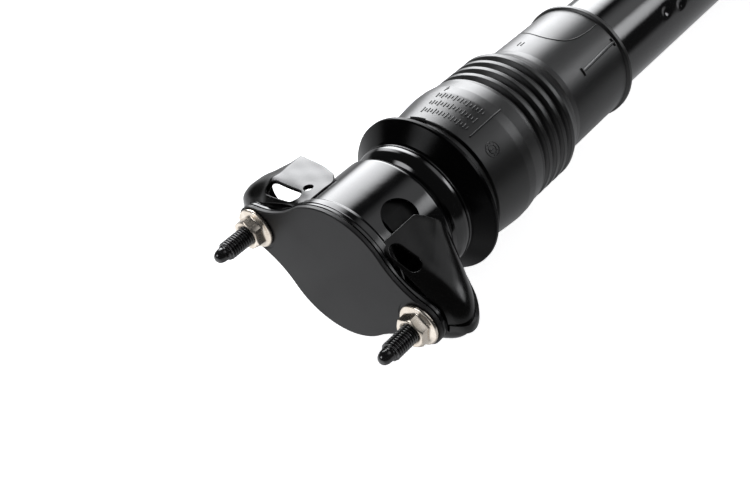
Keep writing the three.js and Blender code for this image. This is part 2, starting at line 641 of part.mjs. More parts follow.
function lowerEye() {
  const loop = alongY(bar(-EYE_WIDTH / 2, EYE_WIDTH / 2, EYE_R, ROUND));
  const saddle = turned([
    [BASE_X1 + GAP, 0], [BASE_X1 + GAP, 17], [BASE_X1 + 2, 17.6], [BASE_X1 + 9, 13], [EYE_X - 10, 12],
    [EYE_X - 10, 0],
  ], MID_ROUND);
  return loop.add(saddle).subtract(alongY(bar(-EYE_WIDTH, EYE_WIDTH, EYE_BORE_R, ROUND)));
}

function lowerBush() {
  const half = EYE_WIDTH / 2 + 1.2;
  const faceR = 15;
  const chamfer = 2.2;
  return turned([
    [-half, BUSH_SLEEVE_R + GAP], [-half, faceR], [chamfer - half, EYE_BORE_R - GAP],
    [half - chamfer, EYE_BORE_R - GAP], [half, faceR], [half, BUSH_SLEEVE_R + GAP],
  ]);
}

const bushSleeve = ring(-SLEEVE_WIDTH / 2, SLEEVE_WIDTH / 2, BUSH_SLEEVE_R, BOLT_R, FINE_ROUND);
add('lower_eye', lowerEye(), 'glossBlack');
add('lower_bush_rubber', alongY(lowerBush()), 'rubber');
add('lower_bush_sleeve', alongY(bushSleeve), 'plating');

export default group;
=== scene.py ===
"""Looks for a suspension strut: pressed top mount, dust boot and damper, lying on a pale floor."""

from math import atan2, cos, degrees, exp, hypot, log, pi, radians, sin, sqrt, tan

import bmesh
import bpy
from mathutils import Matrix, Vector, geometry


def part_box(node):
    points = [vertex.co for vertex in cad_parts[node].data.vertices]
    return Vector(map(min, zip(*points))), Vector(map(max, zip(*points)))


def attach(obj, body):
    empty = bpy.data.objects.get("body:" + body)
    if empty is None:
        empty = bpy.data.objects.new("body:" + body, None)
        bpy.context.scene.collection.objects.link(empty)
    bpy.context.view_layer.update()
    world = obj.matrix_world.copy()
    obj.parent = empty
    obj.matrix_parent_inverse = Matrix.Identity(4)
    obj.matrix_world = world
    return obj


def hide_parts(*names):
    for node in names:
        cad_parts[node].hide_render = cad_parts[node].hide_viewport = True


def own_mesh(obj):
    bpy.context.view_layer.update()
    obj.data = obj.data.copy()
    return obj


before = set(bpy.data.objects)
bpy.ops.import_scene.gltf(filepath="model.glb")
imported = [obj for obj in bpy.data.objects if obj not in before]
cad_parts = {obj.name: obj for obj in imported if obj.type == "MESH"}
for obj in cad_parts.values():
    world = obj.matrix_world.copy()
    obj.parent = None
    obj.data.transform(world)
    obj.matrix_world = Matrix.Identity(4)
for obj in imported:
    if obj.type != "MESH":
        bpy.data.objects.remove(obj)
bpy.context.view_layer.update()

MM = 0.001
FULL = 2 * pi

# ---- sizes in millimetres, in the strut's frame

low = {name: [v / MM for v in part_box(name)[0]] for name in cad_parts}
high = {name: [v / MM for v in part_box(name)[1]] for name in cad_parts}

STUD_Y = (low["stud_left"][1] + high["stud_left"][1]) / 2
EAR_R = high["face_plate"][1] - STUD_Y
BULGE_R = high["face_plate"][2]
WAIST_R = 45.0                   # hollow curve between the bulge and an ear
FACE_X1 = high["face_plate"][0]
FLANGE_X0 = low["mount_housing"][0]
FLANGE_X1 = FLANGE_X0 + 2.5
CUP_R = 35.5
STUD_HOLE_R = 5.3
CUP_BACK_X = high["mount_housing"][0]
DISH_X0 = low["boot_dish"][0]
DISH_X1 = high["boot_dish"][0]
DISH_R = high["boot_dish"][2]
BOOT_X0 = low["dust_boot"][0]
BOOT_X1 = high["dust_boot"][0]
TUBE_X0 = low["reserve_tube"][0]
TUBE_X1 = high["reserve_tube"][0]
TUBE_R = high["reserve_tube"][2]
EYE_X = (low["lower_bush_sleeve"][0] + high["lower_bush_sleeve"][0]) / 2
EYE_R = high["lower_eye"][2]
EYE_HALF = high["lower_eye"][1]

SEGMENTS = 160                   # round a turned piece, unless it says otherwise


# ---- materials

class Nodes:
    """A small helper for building one node material."""

    def __init__(self, name):
        self.material = bpy.data.materials.new(name)
        self.material.use_nodes = True
        self.tree = self.material.node_tree
        self.shader = self.tree.nodes["Principled BSDF"]
        self.place = self.add("ShaderNodeTexCoord").outputs["Object"]

    def add(self, kind, **settings):
        node = self.tree.nodes.new(kind)
        for key, value in settings.items():
            setattr(node, key, value)
        return node

    def link(self, source, target):
        self.tree.links.new(source, target)

    def noise(self, scale, detail=3.0, rough=0.55, stretch=None):
        node = self.add("ShaderNodeTexNoise")
        node.inputs["Scale"].default_value = scale
        node.inputs["Detail"].default_value = detail
        node.inputs["Roughness"].default_value = rough
        where = self.place
        if stretch:
            mapping = self.add("ShaderNodeMapping")
            mapping.inputs["Scale"].default_value = stretch
            self.link(where, mapping.inputs["Vector"])
            where = mapping.outputs["Vector"]
        self.link(where, node.inputs["Vector"])
        return node.outputs["Fac"]

    def spots(self, scale, size):
        """A thin scatter of small dots, 1 in the middle of a dot and 0 elsewhere."""
        node = self.add("ShaderNodeTexVoronoi")
        node.inputs["Scale"].default_value = scale
        self.link(self.place, node.inputs["Vector"])
        return self.ranged(node.outputs["Distance"], 0.0, size, 1.0, 0.0)

    def ranged(self, value, low_in, high_in, low_out, high_out):
        node = self.add("ShaderNodeMapRange")
        numbers = {"From Min": low_in, "From Max": high_in, "To Min": low_out, "To Max": high_out}
        for key, number in numbers.items():
            node.inputs[key].default_value = number
        self.link(value, node.inputs["Value"])
        return node.outputs["Result"]

    def mixed(self, factor, first, second):
        node = self.add("ShaderNodeMix", data_type="RGBA")
        self.link(factor, node.inputs["Factor"])
        for socket, colour in ((node.inputs[6], first), (node.inputs[7], second)):
            if isinstance(colour, tuple):
                socket.default_value = (*colour, 1.0)
            else:
                self.link(colour, socket)
        return node.outputs[2]

    def summed(self, first, second):
        node = self.add("ShaderNodeMath")
        self.link(first, node.inputs[0])
        self.link(second, node.inputs[1])
        return node.outputs["Value"]

    def bump(self, height, depth_mm, strength=1.0, under=None):
        node = self.add("ShaderNodeBump")
        node.inputs["Strength"].default_value = strength
        node.inputs["Distance"].default_value = depth_mm * MM
        self.link(height, node.inputs["Height"])
        if under is not None:
            self.link(under, node.inputs["Normal"])
        return node.outputs["Normal"]

    def finish(self, colour=None, roughness=None, normal=None, **fixed):
        for source, key in ((colour, "Base Color"), (roughness, "Roughness"), (normal, "Normal")):
            if source is not None:
                self.link(source, self.shader.inputs[key])
        for key, value in fixed.items():
            self.shader.inputs[key.replace("_", " ").title().replace("Ior", "IOR")].default_value = value
        return self.material


def gloss_paint(name, base, rough_low, rough_high, specular=0.5):
    """Dipped black paint: faint orange peel, wiped smears and a little dust."""
    n = Nodes(name)
    smear = n.noise(28, 4, 0.6, stretch=(1, 2.2, 2.2))
    dust = n.spots(900, 0.045)
    lighter = tuple(0.06 + 2 * c for c in base)
    colour = n.mixed(n.ranged(n.noise(60, 5), 0.35, 0.75, 0, 1), base, tuple(1.7 * c for c in base))
    colour = n.mixed(dust, colour, lighter)
    rough = n.summed(n.ranged(smear, 0.3, 0.75, rough_low, rough_high), n.ranged(dust, 0, 1, 0, 0.3))
    peel = n.bump(n.noise(420, 2), 0.014, 0.6)
    return n.finish(colour, rough, n.bump(n.noise(85, 2), 0.09, 0.5, peel), specular_ior_level=specular)


def satin_paint():
    """Dull powder-like black on the face plate."""
    n = Nodes("satin_black_paint")
    cloud = n.noise(35, 5, 0.6)
    fine = n.noise(1800, 2)
    colour = n.mixed(n.ranged(cloud, 0.3, 0.7, 0, 1), (0.0072, 0.0070, 0.0073), (0.0118, 0.0115, 0.0119))
    rough = n.summed(n.ranged(cloud, 0.3, 0.7, 0.34, 0.46), n.ranged(fine, 0.3, 0.7, -0.03, 0.03))
    return n.finish(colour, rough, n.bump(fine, 0.006, 0.5), specular_ior_level=0.22)


def plating():
    """Bright nickel with a warm cast, rubbed by the socket on its high spots."""
    n = Nodes("nickel_plating")
    cloud = n.noise(160, 4, 0.6)
    scratch = n.noise(900, 3, 0.7, stretch=(0.25, 1, 1))
    colour = n.mixed(n.ranged(cloud, 0.35, 0.7, 0, 1), (0.86, 0.79, 0.70), (0.74, 0.65, 0.55))
    rough = n.summed(n.ranged(cloud, 0.3, 0.7, 0.16, 0.3), n.ranged(scratch, 0.4, 0.8, 0, 0.1))
    return n.finish(colour, rough, n.bump(scratch, 0.002, 0.3), metallic=1.0)


def black_steel():
    """Oiled black oxide on the studs and the valve pin."""
    n = Nodes("black_steel")
    cloud = n.noise(300, 4)
    colour = n.mixed(n.ranged(cloud, 0.4, 0.7, 0, 1), (0.004, 0.004, 0.0043), (0.012, 0.0118, 0.0115))
    return n.finish(colour, n.ranged(cloud, 0.3, 0.7, 0.10, 0.2), n.bump(n.noise(900, 2), 0.002, 0.3),
                    specular_ior_level=0.9)


def steel(name, colour_low, colour_high, rough_low, rough_high):
    """Turned or ground metal, with its marks running round the strut."""
    n = Nodes(name)
    marks = n.noise(1400, 3, 0.6, stretch=(1, 0.06, 0.06))
    cloud = n.noise(70, 4)
    colour = n.mixed(n.ranged(cloud, 0.3, 0.7, 0, 1), colour_low, colour_high)
    rough = n.summed(n.ranged(cloud, 0.3, 0.7, rough_low, rough_high), n.ranged(marks, 0.3, 0.8, 0, 0.06))
    return n.finish(colour, rough, n.bump(marks, 0.004, 0.4), metallic=1.0)


def sintered():
    """Pressed powder metal: grey, with fine pores. Each pore is dented by the bump and painted darker, as painted
    shade in the pit.
    """
    n = Nodes("sintered_steel")
    pores_and_pit_shade = n.spots(2600, 0.25)
    # painted shade: the colour darkens from grey to near black in each pore's dent
    colour = n.mixed(pores_and_pit_shade, (0.28, 0.28, 0.29), (0.08, 0.08, 0.085))
    rough = n.ranged(n.noise(200, 3), 0.3, 0.7, 0.45, 0.62)
    return n.finish(colour, rough, n.bump(pores_and_pit_shade, 0.02, -0.5), metallic=0.9)


def rubber():
    """Black moulded rubber with a light bloom."""
    n = Nodes("rubber")
    bloom = n.noise(90, 6, 0.65)
    colour = n.mixed(n.ranged(bloom, 0.4, 0.8, 0, 1), (0.003, 0.003, 0.003), (0.008, 0.008, 0.0078))
    return n.finish(colour, n.ranged(bloom, 0.3, 0.8, 0.62, 0.82), n.bump(n.noise(1300, 3), 0.03, 0.5),
                    specular_ior_level=0.3)


def foam():
    """Cream cellular foam with an open skin. The open cells are dented by the bump and painted dark brown, as
    painted shade inside the cells.
    """
    n = Nodes("foam")
    cells_and_cell_shade = n.spots(1500, 0.4)
    colour = n.mixed(n.ranged(n.noise(60, 5), 0.3, 0.7, 0, 1), (0.62, 0.50, 0.27), (0.70, 0.60, 0.38))
    # painted shade: the colour turns dark brown in each cell's dent
    return n.finish(n.mixed(cells_and_cell_shade, colour, (0.4, 0.3, 0.14)), n.ranged(n.noise(300, 2), 0.3, 0.7, 0.8, 0.95),
                    n.bump(cells_and_cell_shade, 0.08, -0.6))


def moulded(name, colour_low, colour_high, rough_low, rough_high, grain_mm):
    """Injection-moulded plastic with a fine spark-eroded grain and faint flow marks."""
    n = Nodes(name)
    flow = n.noise(30, 5, 0.6, stretch=(0.5, 1, 1))
    grain = n.noise(2200, 2, 0.5)
    colour = n.mixed(n.ranged(flow, 0.3, 0.7, 0, 1), colour_low, colour_high)
    rough = n.summed(n.ranged(flow, 0.3, 0.7, rough_low, rough_high), n.ranged(grain, 0.3, 0.7, -0.04, 0.04))
    waves = n.bump(n.noise(45, 2), 0.06, 0.3)
    return n.finish(colour, rough, n.bump(grain, grain_mm, 0.5, waves), specular_ior_level=0.56)


WING_PAINT = gloss_paint("wing_black_paint", (0.0022, 0.0021, 0.0020), 0.12, 0.25, 0.32)
# Two more paints, on pieces whose slots are gloss_black_paint and dish_black_paint.
FLARE_PAINT = gloss_paint("flare_black_paint", (0.0010, 0.0010, 0.0011), 0.12, 0.25, 0.07)
MATERIALS = {
    "satin_black_paint": satin_paint(),
    "gloss_black_paint": gloss_paint("gloss_black_paint", (0.0016, 0.0016, 0.0018), 0.06, 0.15),
    "dish_black_paint": gloss_paint("dish_black_paint", (0.0010, 0.0010, 0.0011), 0.07, 0.14, 0.8),
    "tube_black_paint": gloss_paint("tube_black_paint", (0.0016, 0.0016, 0.0018), 0.06, 0.14, 0.65),
    "nickel_plating": plating(),
    "black_steel": black_steel(),
    "bright_steel": steel("bright_steel", (0.52, 0.53, 0.55), (0.62, 0.63, 0.65), 0.22, 0.34),
    "hard_chrome": steel("hard_chrome", (0.72, 0.73, 0.75), (0.78, 0.79, 0.81), 0.05, 0.09),
    "rubber": rubber(),
    "foam": foam(),
    "boot_plastic": moulded("boot_plastic", (0.0026, 0.0026, 0.0027), (0.0046, 0.0045, 0.0044), 0.3, 0.4, 0.012),
    "sintered_steel": sintered(),
    "bearing_plastic": moulded("bearing_plastic", (0.10, 0.22, 0.19), (0.13, 0.27, 0.23), 0.4, 0.5, 0.01),
}


# ---- mesh helpers

def new_piece(name, body, slot, verts, faces, replaces=(), sharp_deg=38, weighted=True):
    """A finished piece from points in millimetres, with its slot's material, riding on a body."""
    mesh = bpy.data.meshes.new(name)
    mesh.from_pydata([Vector(v) * MM for v in verts], [], faces)
    mesh.validate()
    piece = bpy.data.objects.new(name, mesh)
    bpy.context.scene.collection.objects.link(piece)
    clean(piece, sharp_deg)
    if weighted:
        weigh(piece)
    piece.data.materials.clear()
    piece.data.materials.append(MATERIALS[slot])
    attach(piece, body)
    if replaces:
        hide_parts(*replaces)
    return piece


def clean(piece, sharp_deg=38):
    """Merges doubles, turns every face outwards and smooths all but the sharp edges."""
    work = bmesh.new()
    work.from_mesh(piece.data)
    bmesh.ops.remove_doubles(work, verts=work.verts, dist=1e-7)
    bmesh.ops.dissolve_degenerate(work, dist=1e-7, edges=work.edges)
    bmesh.ops.recalc_face_normals(work, faces=work.faces)
    work.to_mesh(piece.data)
    work.free()
    piece.data.shade_smooth()
    piece.data.set_sharp_from_angle(angle=radians(sharp_deg))


def weigh(piece):
    """Lets large faces set the normals, so flat faces stay flat up to their rounded edges."""
    modifier = piece.modifiers.new("weigh", "WEIGHTED_NORMAL")
    modifier.keep_sharp = True
    modifier.weight = 100
    apply_modifiers(piece)


def cut(piece, tools, operation="DIFFERENCE", sharp_deg=38):
    """Cuts or joins meshes for good, and removes the tools."""
    for tool in tools:
        modifier = piece.modifiers.new("cut", "BOOLEAN")
        modifier.operation = operation
        modifier.solver = "EXACT"
        modifier.object = tool
        apply_modifiers(piece)
        bpy.data.objects.remove(tool)
    clean(piece, sharp_deg)
    weigh(piece)


def apply_modifiers(piece):
    bpy.context.view_layer.update()
    graph = bpy.context.evaluated_depsgraph_get()
    mesh = bpy.data.meshes.new_from_object(piece.evaluated_get(graph))
    piece.modifiers.clear()
    piece.data = mesh


def tool(name, verts, faces):
    mesh = bpy.data.meshes.new(name)
    mesh.from_pydata([Vector(v) * MM for v in verts], [], faces)
    thing = bpy.data.objects.new(name, mesh)
    bpy.context.scene.collection.objects.link(thing)
    clean(thing)
    return thing


def rounded(points, default=0.4, steps=5, closed=True):
    """A polygon of (x, r) or (x, r, radius) corners with every corner rounded to an arc."""
    result = []
    count = len(points)
    for i, point in enumerate(points):
        here = Vector(point[:2])
        radius = point[2] if len(point) > 2 else default
        if radius <= 0 or (not closed and i in (0, count - 1)):
            result.append(tuple(here))
            continue
        before = Vector(points[i - 1][:2]) - here
        after = Vector(points[(i + 1) % count][:2]) - here
        angle = before.angle(after, pi)
        if angle > radians(178) or angle < radians(2):
            result.append(tuple(here))
            continue
        reach = min(radius / tan(angle / 2), before.length * 0.49, after.length * 0.49)
        radius = reach * tan(angle / 2)
        start = here + before.normalized() * reach
        end = here + after.normalized() * reach
        middle = (before.normalized() + after.normalized()).normalized()
        centre = here + middle * (radius / sin(angle / 2))
        a, b = start - centre, end - centre
        sweep = a.angle(b)
        sign = 1 if a.cross(b) > 0 else -1
        for k in range(steps + 1):
            turn = sign * sweep * k / steps
            result.append((centre.x + a.x * cos(turn) - a.y * sin(turn),
                           centre.y + a.x * sin(turn) + a.y * cos(turn)))
    return result


def round_points(radius, count):
    return [(radius * cos(FULL * i / count), radius * sin(FULL * i / count)) for i in range(count)]


def closed_rings(rings):
    """Rings of equal point counts skinned in a closed chain."""
    count = len(rings[0])
    verts = [p for ring in rings for p in ring]
    faces = []
    for r in range(len(rings)):
        s = (r + 1) % len(rings)
        for i in range(count):
            j = (i + 1) % count
            faces.append((r * count + i, r * count + j, s * count + j, s * count + i))
    return verts, faces


def turned_mesh(profile, segments=SEGMENTS, warp=None):
    """Vertices and faces of a closed profile of (x, r) turned about the strut's axis."""
    rings = []
    for s in range(segments):
        turn = FULL * s / segments
        ring = [warp(x, r, turn) for x, r in profile] if warp else profile
        rings.append([(x, r * sin(turn), r * cos(turn)) for x, r in ring])
    return closed_rings(rings)


def turned(name, body, slot, profile, replaces=(), segments=SEGMENTS, warp=None, sharp_deg=38):
    verts, faces = turned_mesh(profile, segments, warp)
    return new_piece(name, body, slot, verts, faces, replaces, sharp_deg)


def bar_tool(name, x0, x1, radius, y=0.0, segments=64):
    verts, faces = prism(round_points(radius, segments), x0, x1)
    return tool(name, [(vx, vy + y, vz) for vx, vy, vz in verts], faces)


def prism(outline, x0, x1):
    """An outline of (y, z) points made solid from x0 to x1."""
    count = len(outline)
    verts = [(x0, y, z) for y, z in outline] + [(x1, y, z) for y, z in outline]
    faces = [(i, (i + 1) % count, count + (i + 1) % count, count + i) for i in range(count)]
    faces.append(tuple(range(count)))
    faces.append(tuple(range(2 * count - 1, count - 1, -1)))
    return verts, faces


def rings_mesh(rings):
    """Skins rings of equal point counts, with a cap at each end. Each ring is a closed list of (x, y, z)."""
    count = len(rings[0])
    verts = [p for ring in rings for p in ring]
    faces = []
    for r in range(len(rings) - 1):
        for i in range(count):
            j = (i + 1) % count
            faces.append((r * count + i, r * count + j, (r + 1) * count + j, (r + 1) * count + i))
    faces.append(tuple(range(count)))
    last = (len(rings) - 1) * count
    faces.append(tuple(range(last + count - 1, last - 1, -1)))
    return verts, faces


def arc(cy, cz, radius, start, end, steps):
    """Points from start up to, but not at, the end angle."""
    return [(cy + radius * cos(start + (end - start) * i / steps),
             cz + radius * sin(start + (end - start) * i / steps)) for i in range(steps)]


def mount_outline(inset=0.0):
    """The mount's outline: a round bulge and two ears, joined by hollow curves."""
    bulge, ear, waist = BULGE_R - inset, EAR_R - inset, WAIST_R + inset
    to_bulge, to_ear = bulge + waist, ear + waist
    wy = (to_bulge ** 2 - to_ear ** 2 + STUD_Y ** 2) / (2 * STUD_Y)
    wz = sqrt(to_bulge ** 2 - wy ** 2)
    ba, ea = atan2(wz, wy), atan2(wz, wy - STUD_Y)
    return (arc(STUD_Y, 0, ear, -ea, ea, 40) + arc(wy, wz, waist, ea - pi, ba - pi, 24)
            + arc(0, 0, bulge, ba, pi - ba, 60) + arc(-wy, wz, waist, -ba, -ea, 24)
            + arc(-STUD_Y, 0, ear, pi - ea, pi + ea, 40) + arc(-wy, -wz, waist, ea, ba, 24)
            + arc(0, 0, bulge, pi + ba, FULL - ba, 60) + arc(wy, -wz, waist, pi - ba, pi - ea, 24))


def outline_plate(x0, x1, edge0, edge1):
    """The mount's outline as a plate whose two rims are rounded to edge0 and edge1."""
    rings = []
    steps = 5
    for i in range(steps + 1):
        a = pi / 2 * i / steps
        rings.append((x0 + edge0 * (1 - sin(a)), edge0 * (1 - cos(a))))
    rings.reverse()
    for i in range(steps + 1):
        a = pi / 2 * i / steps
        rings.append((x1 - edge1 * (1 - sin(a)), edge1 * (1 - cos(a))))
    rings[:steps + 1] = sorted(rings[:steps + 1])
    rings[steps + 1:] = sorted(rings[steps + 1:])
    return rings_mesh([[(x, y, z) for y, z in mount_outline(inset)] for x, inset in rings])


# ---- pressed sheets cut from a curved surface

def grid_patch(loops, spacing):
    """Fills flat loops (the first is the outside, the others are holes) with an even triangle mesh."""
    points, edges = [], []
    for loop in loops:
        start = len(points)
        points += [Vector(p) for p in loop]
        edges += [(start + i, start + (i + 1) % len(loop)) for i in range(len(loop))]
    fixed = len(points)
    xs = [p.x for p in points]
    ys = [p.y for p in points]
    borders = [points[a] + (points[b] - points[a]) * t for a, b in edges for t in (0.0, 0.5)]
    cell = spacing * 0.62
    near = set()
    for p in borders:
        near.add((round(p.x / cell), round(p.y / cell)))
    row = 0
    y = min(ys)
    while y < max(ys):
        x = min(xs) + (spacing / 2 if row % 2 else 0)
        while x < max(xs):
            key = (round(x / cell), round(y / cell))
            close = any((key[0] + i, key[1] + j) in near for i in (-1, 0, 1) for j in (-1, 0, 1))
            if not close and inside(x, y, loops):
                points.append(Vector((x, y)))
            x += spacing
        y += spacing * 0.866
        row += 1
    out, _, faces, origin, _, _ = geometry.delaunay_2d_cdt(points, edges, [], 0, 1e-6)
    kept = []
    for face in faces:
        middle = sum((out[i] for i in face), Vector((0, 0))) / len(face)
        if inside(middle.x, middle.y, loops):
            kept.append(face)
    where = [None] * fixed
    for i, sources in enumerate(origin):
        for s in sources:
            if s < fixed:
                where[s] = i
    return [tuple(p) for p in out], kept, where


def inside(x, y, loops):
    """Even-odd test against all the loops together."""
    odd = False
    for loop in loops:
        for i in range(len(loop)):
            (x0, y0), (x1, y1) = loop[i - 1], loop[i]
            if (y0 > y) != (y1 > y) and x < (x1 - x0) * (y - y0) / (y1 - y0) + x0:
                odd = not odd
    return odd


def resampled(loop, step):
    """The closed loop with points about one step apart, corners kept."""
    result = []
    for i, (x0, y0) in enumerate(loop):
        x1, y1 = loop[(i + 1) % len(loop)]
        count = max(1, round(hypot(x1 - x0, y1 - y0) / step))
        result += [(x0 + (x1 - x0) * k / count, y0 + (y1 - y0) * k / count) for k in range(count)]
    return result


def pressed_sheet(surface, loops, thickness, edge, flip):
    """A sheet of even thickness whose outer skin is surface(u, v). Its loops are trimmed with rounded edges."""
    step, border_step, spacing = 0.02, 0.8, 1.1

    def frame_at(u, v):
        along = Vector(surface(u + step, v)) - Vector(surface(u - step, v))
        across = Vector(surface(u, v + step)) - Vector(surface(u, v - step))
        normal = along.cross(across).normalized() * (-1 if flip else 1)
        return along / (2 * step), across / (2 * step), normal

    inset, outward = [], []
    for number, loop in enumerate(loops):
        loop = resampled(loop, border_step)
        turn = signed_area(loop) * (1 if number == 0 else -1)
        points, directions = [], []
        for i in range(len(loop)):
            before, here, after = Vector(loop[i - 1]), Vector(loop[i]), Vector(loop[(i + 1) % len(loop)])
            tangent = ((here - before).normalized() + (after - here).normalized()).normalized()
            out = Vector((tangent.y, -tangent.x)) * (1 if turn > 0 else -1)
            points.append(tuple(here - out * edge))
            directions.append(out)
        inset.append(points)
        outward.append(directions)
    flat, faces, where = grid_patch(inset, spacing)
    frames = [frame_at(u, v) for u, v in flat]
    outer = [Vector(surface(u, v)) for u, v in flat]
    inner = [p - f[2] * thickness for p, f in zip(outer, frames)]
    verts = outer + inner
    size = len(outer)
    quads = [tuple(f) for f in faces] + [tuple(size + i for i in reversed(f)) for f in faces]
    steps = 4
    first = 0
    for points, directions in zip(inset, outward):
        rows = []
        for i, out in enumerate(directions):
            index = where[first + i]
            along, across, normal = frames[index]
            away = (along * out.x + across * out.y).normalized()
            row = [index]
            for upper in (True, False):
                base = outer[index] if upper else inner[index]
                side = 1 if upper else -1
                for k in range(1, steps + 1):
                    angle = pi / 2 * (k if upper else steps + 1 - k) / steps
                    verts.append(base + away * edge * sin(angle)
                                 - normal * side * edge * (1 - cos(angle)))
                    row.append(len(verts) - 1)
            row.append(size + index)
            rows.append(row)
        for i in range(len(rows)):
            a, b = rows[i], rows[(i + 1) % len(rows)]
            for k in range(len(a) - 1):
                quads.append((a[k], b[k], b[k + 1], a[k + 1]))
        first += len(points)
    return verts, quads


def signed_area(loop):
    return sum(loop[i - 1][0] * loop[i][1] - loop[i][0] * loop[i - 1][1] for i in range(len(loop))) / 2


def slot_loop(start, end, radius, steps=10):
    """A slot's outline with round ends."""
    turn = atan2(end[1] - start[1], end[0] - start[0])
    loop = []
    for (cx, cy), first in ((end, turn - pi / 2), (start, turn + pi / 2)):
        angles = [first + pi * k / steps for k in range(steps + 1)]
        loop += [(cx + radius * cos(a), cy + radius * sin(a)) for a in angles]
    return loop


def smooth_line(points, x):
    """A curve through (x, value...) points, with no corners between them (monotone in x)."""
    for i in range(len(points) - 1):
        if x <= points[i + 1][0] or i == len(points) - 2:
            break
    p0, p1, p2, p3 = points[max(i - 1, 0)], points[i], points[i + 1], points[min(i + 2, len(points) - 1)]
    span = p2[0] - p1[0]
    t = (x - p1[0]) / span
    result = []
    for k in range(1, len(p1)):
        m1 = (p2[k] - p0[k]) / max(p2[0] - p0[0], 1e-6) * span
        m2 = (p3[k] - p1[k]) / max(p3[0] - p1[0], 1e-6) * span
        result.append((2 * t ** 3 - 3 * t ** 2 + 1) * p1[k] + (t ** 3 - 2 * t ** 2 + t) * m1
                      + (3 * t ** 2 - 2 * t ** 3) * p2[k] + (t ** 3 - t ** 2) * m2)
    return result


# ---- top mount

def face_plate():
    verts, faces = outline_plate(low["face_plate"][0], FACE_X1, 0.6, 0.3)
    plate = new_piece("face_plate_look", "mount", "satin_black_paint", verts, faces, ["face_plate"])
    seat_depth, seat_r = 0.3, 12.6
    tools = []
    for side, y in (("left", STUD_Y), ("right", -STUD_Y)):
        tools.append(bar_tool("seat_" + side, -1, seat_depth, seat_r, y, segments=128))
        tools.append(bar_tool("hole_" + side, -2, 6, STUD_HOLE_R, y))
    cut(plate, tools)


def mount_housing():
    """Flange and cup as rings round the axis. Each ring has the outline's own angles."""
    angles = [atan2(z, y) for y, z in mount_outline()]
    lip = CUP_R + 1.2
    bore = CUP_R - 2.5
    x0, x1, back = FLANGE_X0, FLANGE_X1, CUP_BACK_X
    rings = []

    def flange_ring(x, inset):
        rings.append([(x, y, z) for y, z in mount_outline(inset)])

    def round_ring(x, r):
        rings.append([(x, r * cos(a), r * sin(a)) for a in angles])

    edge = 0.35
    for k in range(5):
        a = pi / 2 * k / 4
        flange_ring(x0 + edge * (1 - sin(a)), edge * (1 - cos(a)))
    for k in range(5):
        a = pi / 2 * k / 4
        flange_ring(x1 - edge * (1 - cos(a)), edge * (1 - sin(a)))
    outside = rounded([(x1, 37.5), (x1, lip, 0.4), (x0 + 6.2, lip, 1.4), (x0 + 7.3, CUP_R, 1.6), (back, CUP_R, 4.6),
                       (back, 20, 1.0), (back - 2.5, 20, 0.9), (back - 2.5, bore, 2.2), (x0 + 1.2, bore, 2.0),
                       (x0, bore + 2.2)], steps=8, closed=False)
    for x, r in outside[1:]:
        round_ring(x, r)
    verts, faces = closed_rings(rings)
    housing = new_piece("mount_housing_look", "mount", "gloss_black_paint", verts, faces, ["mount_housing"])
    window_x, window_r, window_tilt = 25.6, 10.3, radians(34)
    window = bar_tool("window", 18, 46, window_r, segments=96)
    window.data.transform(Matrix.Rotation(-pi / 2, 4, "Y"))
    window.data.transform(Matrix.Translation((window_x * MM, 0, 0)) @ Matrix.Rotation(window_tilt, 4, "X"))
    tools = [window]
    for side, y in (("left", STUD_Y), ("right", -STUD_Y)):
        tools.append(bar_tool("hole_" + side, -2, 8, STUD_HOLE_R, y))
    cut(housing, tools)


# Stations along the axis: x, reach from the axis, crease y, crease z.
LEFT_STATIONS = [
    (5.5, 63.2, 50.5, 12.2), (7.5, 66.8, 51.5, 15.0), (10, 70.0, 52.5, 17.2), (13.5, 71.6, 53.4, 18.8),
    (17, 71.8, 54.0, 19.6), (22, 71.2, 54.0, 19.7), (27, 69.2, 54.0, 19.7), (32, 65.4, 54.0, 19.7),
    (36, 60.8, 54.0, 19.7), (38.6, 57.0, 54.0, 19.7),
]
RIGHT_STATIONS = [
    (5.5, 63.2, 50.2, 12.2), (7.5, 67.0, 54.0, 14.0), (10, 70.0, 56.5, 15.6), (13.5, 71.8, 57.5, 17.0),
    (18, 71.2, 56.0, 18.0), (23, 67.8, 52.0, 19.6), (28, 62.4, 46.6, 21.4), (33, 55.0, 41.0, 23.4),
    (38.6, 46.0, 34.8, 25.4),
]
WING_SHEET = 2.4
WING_EDGE = (22.3, 28.4)         # y, z of the upper free edge, on the cup
WING_REACH = 71.75               # the dents stay inside this
CREASE_V = 34.0                  # v at the crease
SIDE_V = 28.0                    # v from the crease to the middle of the side
MIDDLE_V = CREASE_V + SIDE_V


def wing_surface(stations, side, slope_deg, soften, dents):
    """Outer skin of a wing. u runs along the axis; v runs from the upper free edge round to the lower one."""
    slope = radians(slope_deg)

    def section(stage, w):
        reach, crease_y, crease_z = stage
        if w <= CREASE_V:
            t = max(w, 0) / CREASE_V
            return Vector((WING_EDGE[0] + (crease_y - WING_EDGE[0]) * t,
                           WING_EDGE[1] + (crease_z - WING_EDGE[1]) * t))
        t = (w - CREASE_V) / SIDE_V
        wide = reach - crease_y
        p0 = Vector((crease_y, crease_z))
        p1 = p0 + Vector((cos(slope), -sin(slope))) * (wide * 0.5)
        p2 = Vector((reach, crease_z * 0.5))
        p3 = Vector((reach, 0))
        return (1 - t) ** 3 * p0 + 3 * t * (1 - t) ** 2 * p1 + 3 * t * t * (1 - t) * p2 + t ** 3 * p3

    def point(u, v):
        upper = v <= MIDDLE_V
        w = v if upper else 2 * MIDDLE_V - v
        stage = smooth_line(stations, u)
        if soften and abs(w - CREASE_V) < 2 * soften:
            place = sum((section(stage, w + soften * k / 3) for k in range(-3, 4)), Vector((0, 0))) / 7
        else:
            place = section(stage, w)
        dent = dents * (0.16 * sin(0.42 * u + 1.1) * sin(0.2 * w + 0.6)
                        + 0.08 * sin(0.7 * u - 0.3 * w))
        place = place * (1 + dent / place.length)
        return u, side * min(place.x, WING_REACH), place.y if upper else -place.y

    return point


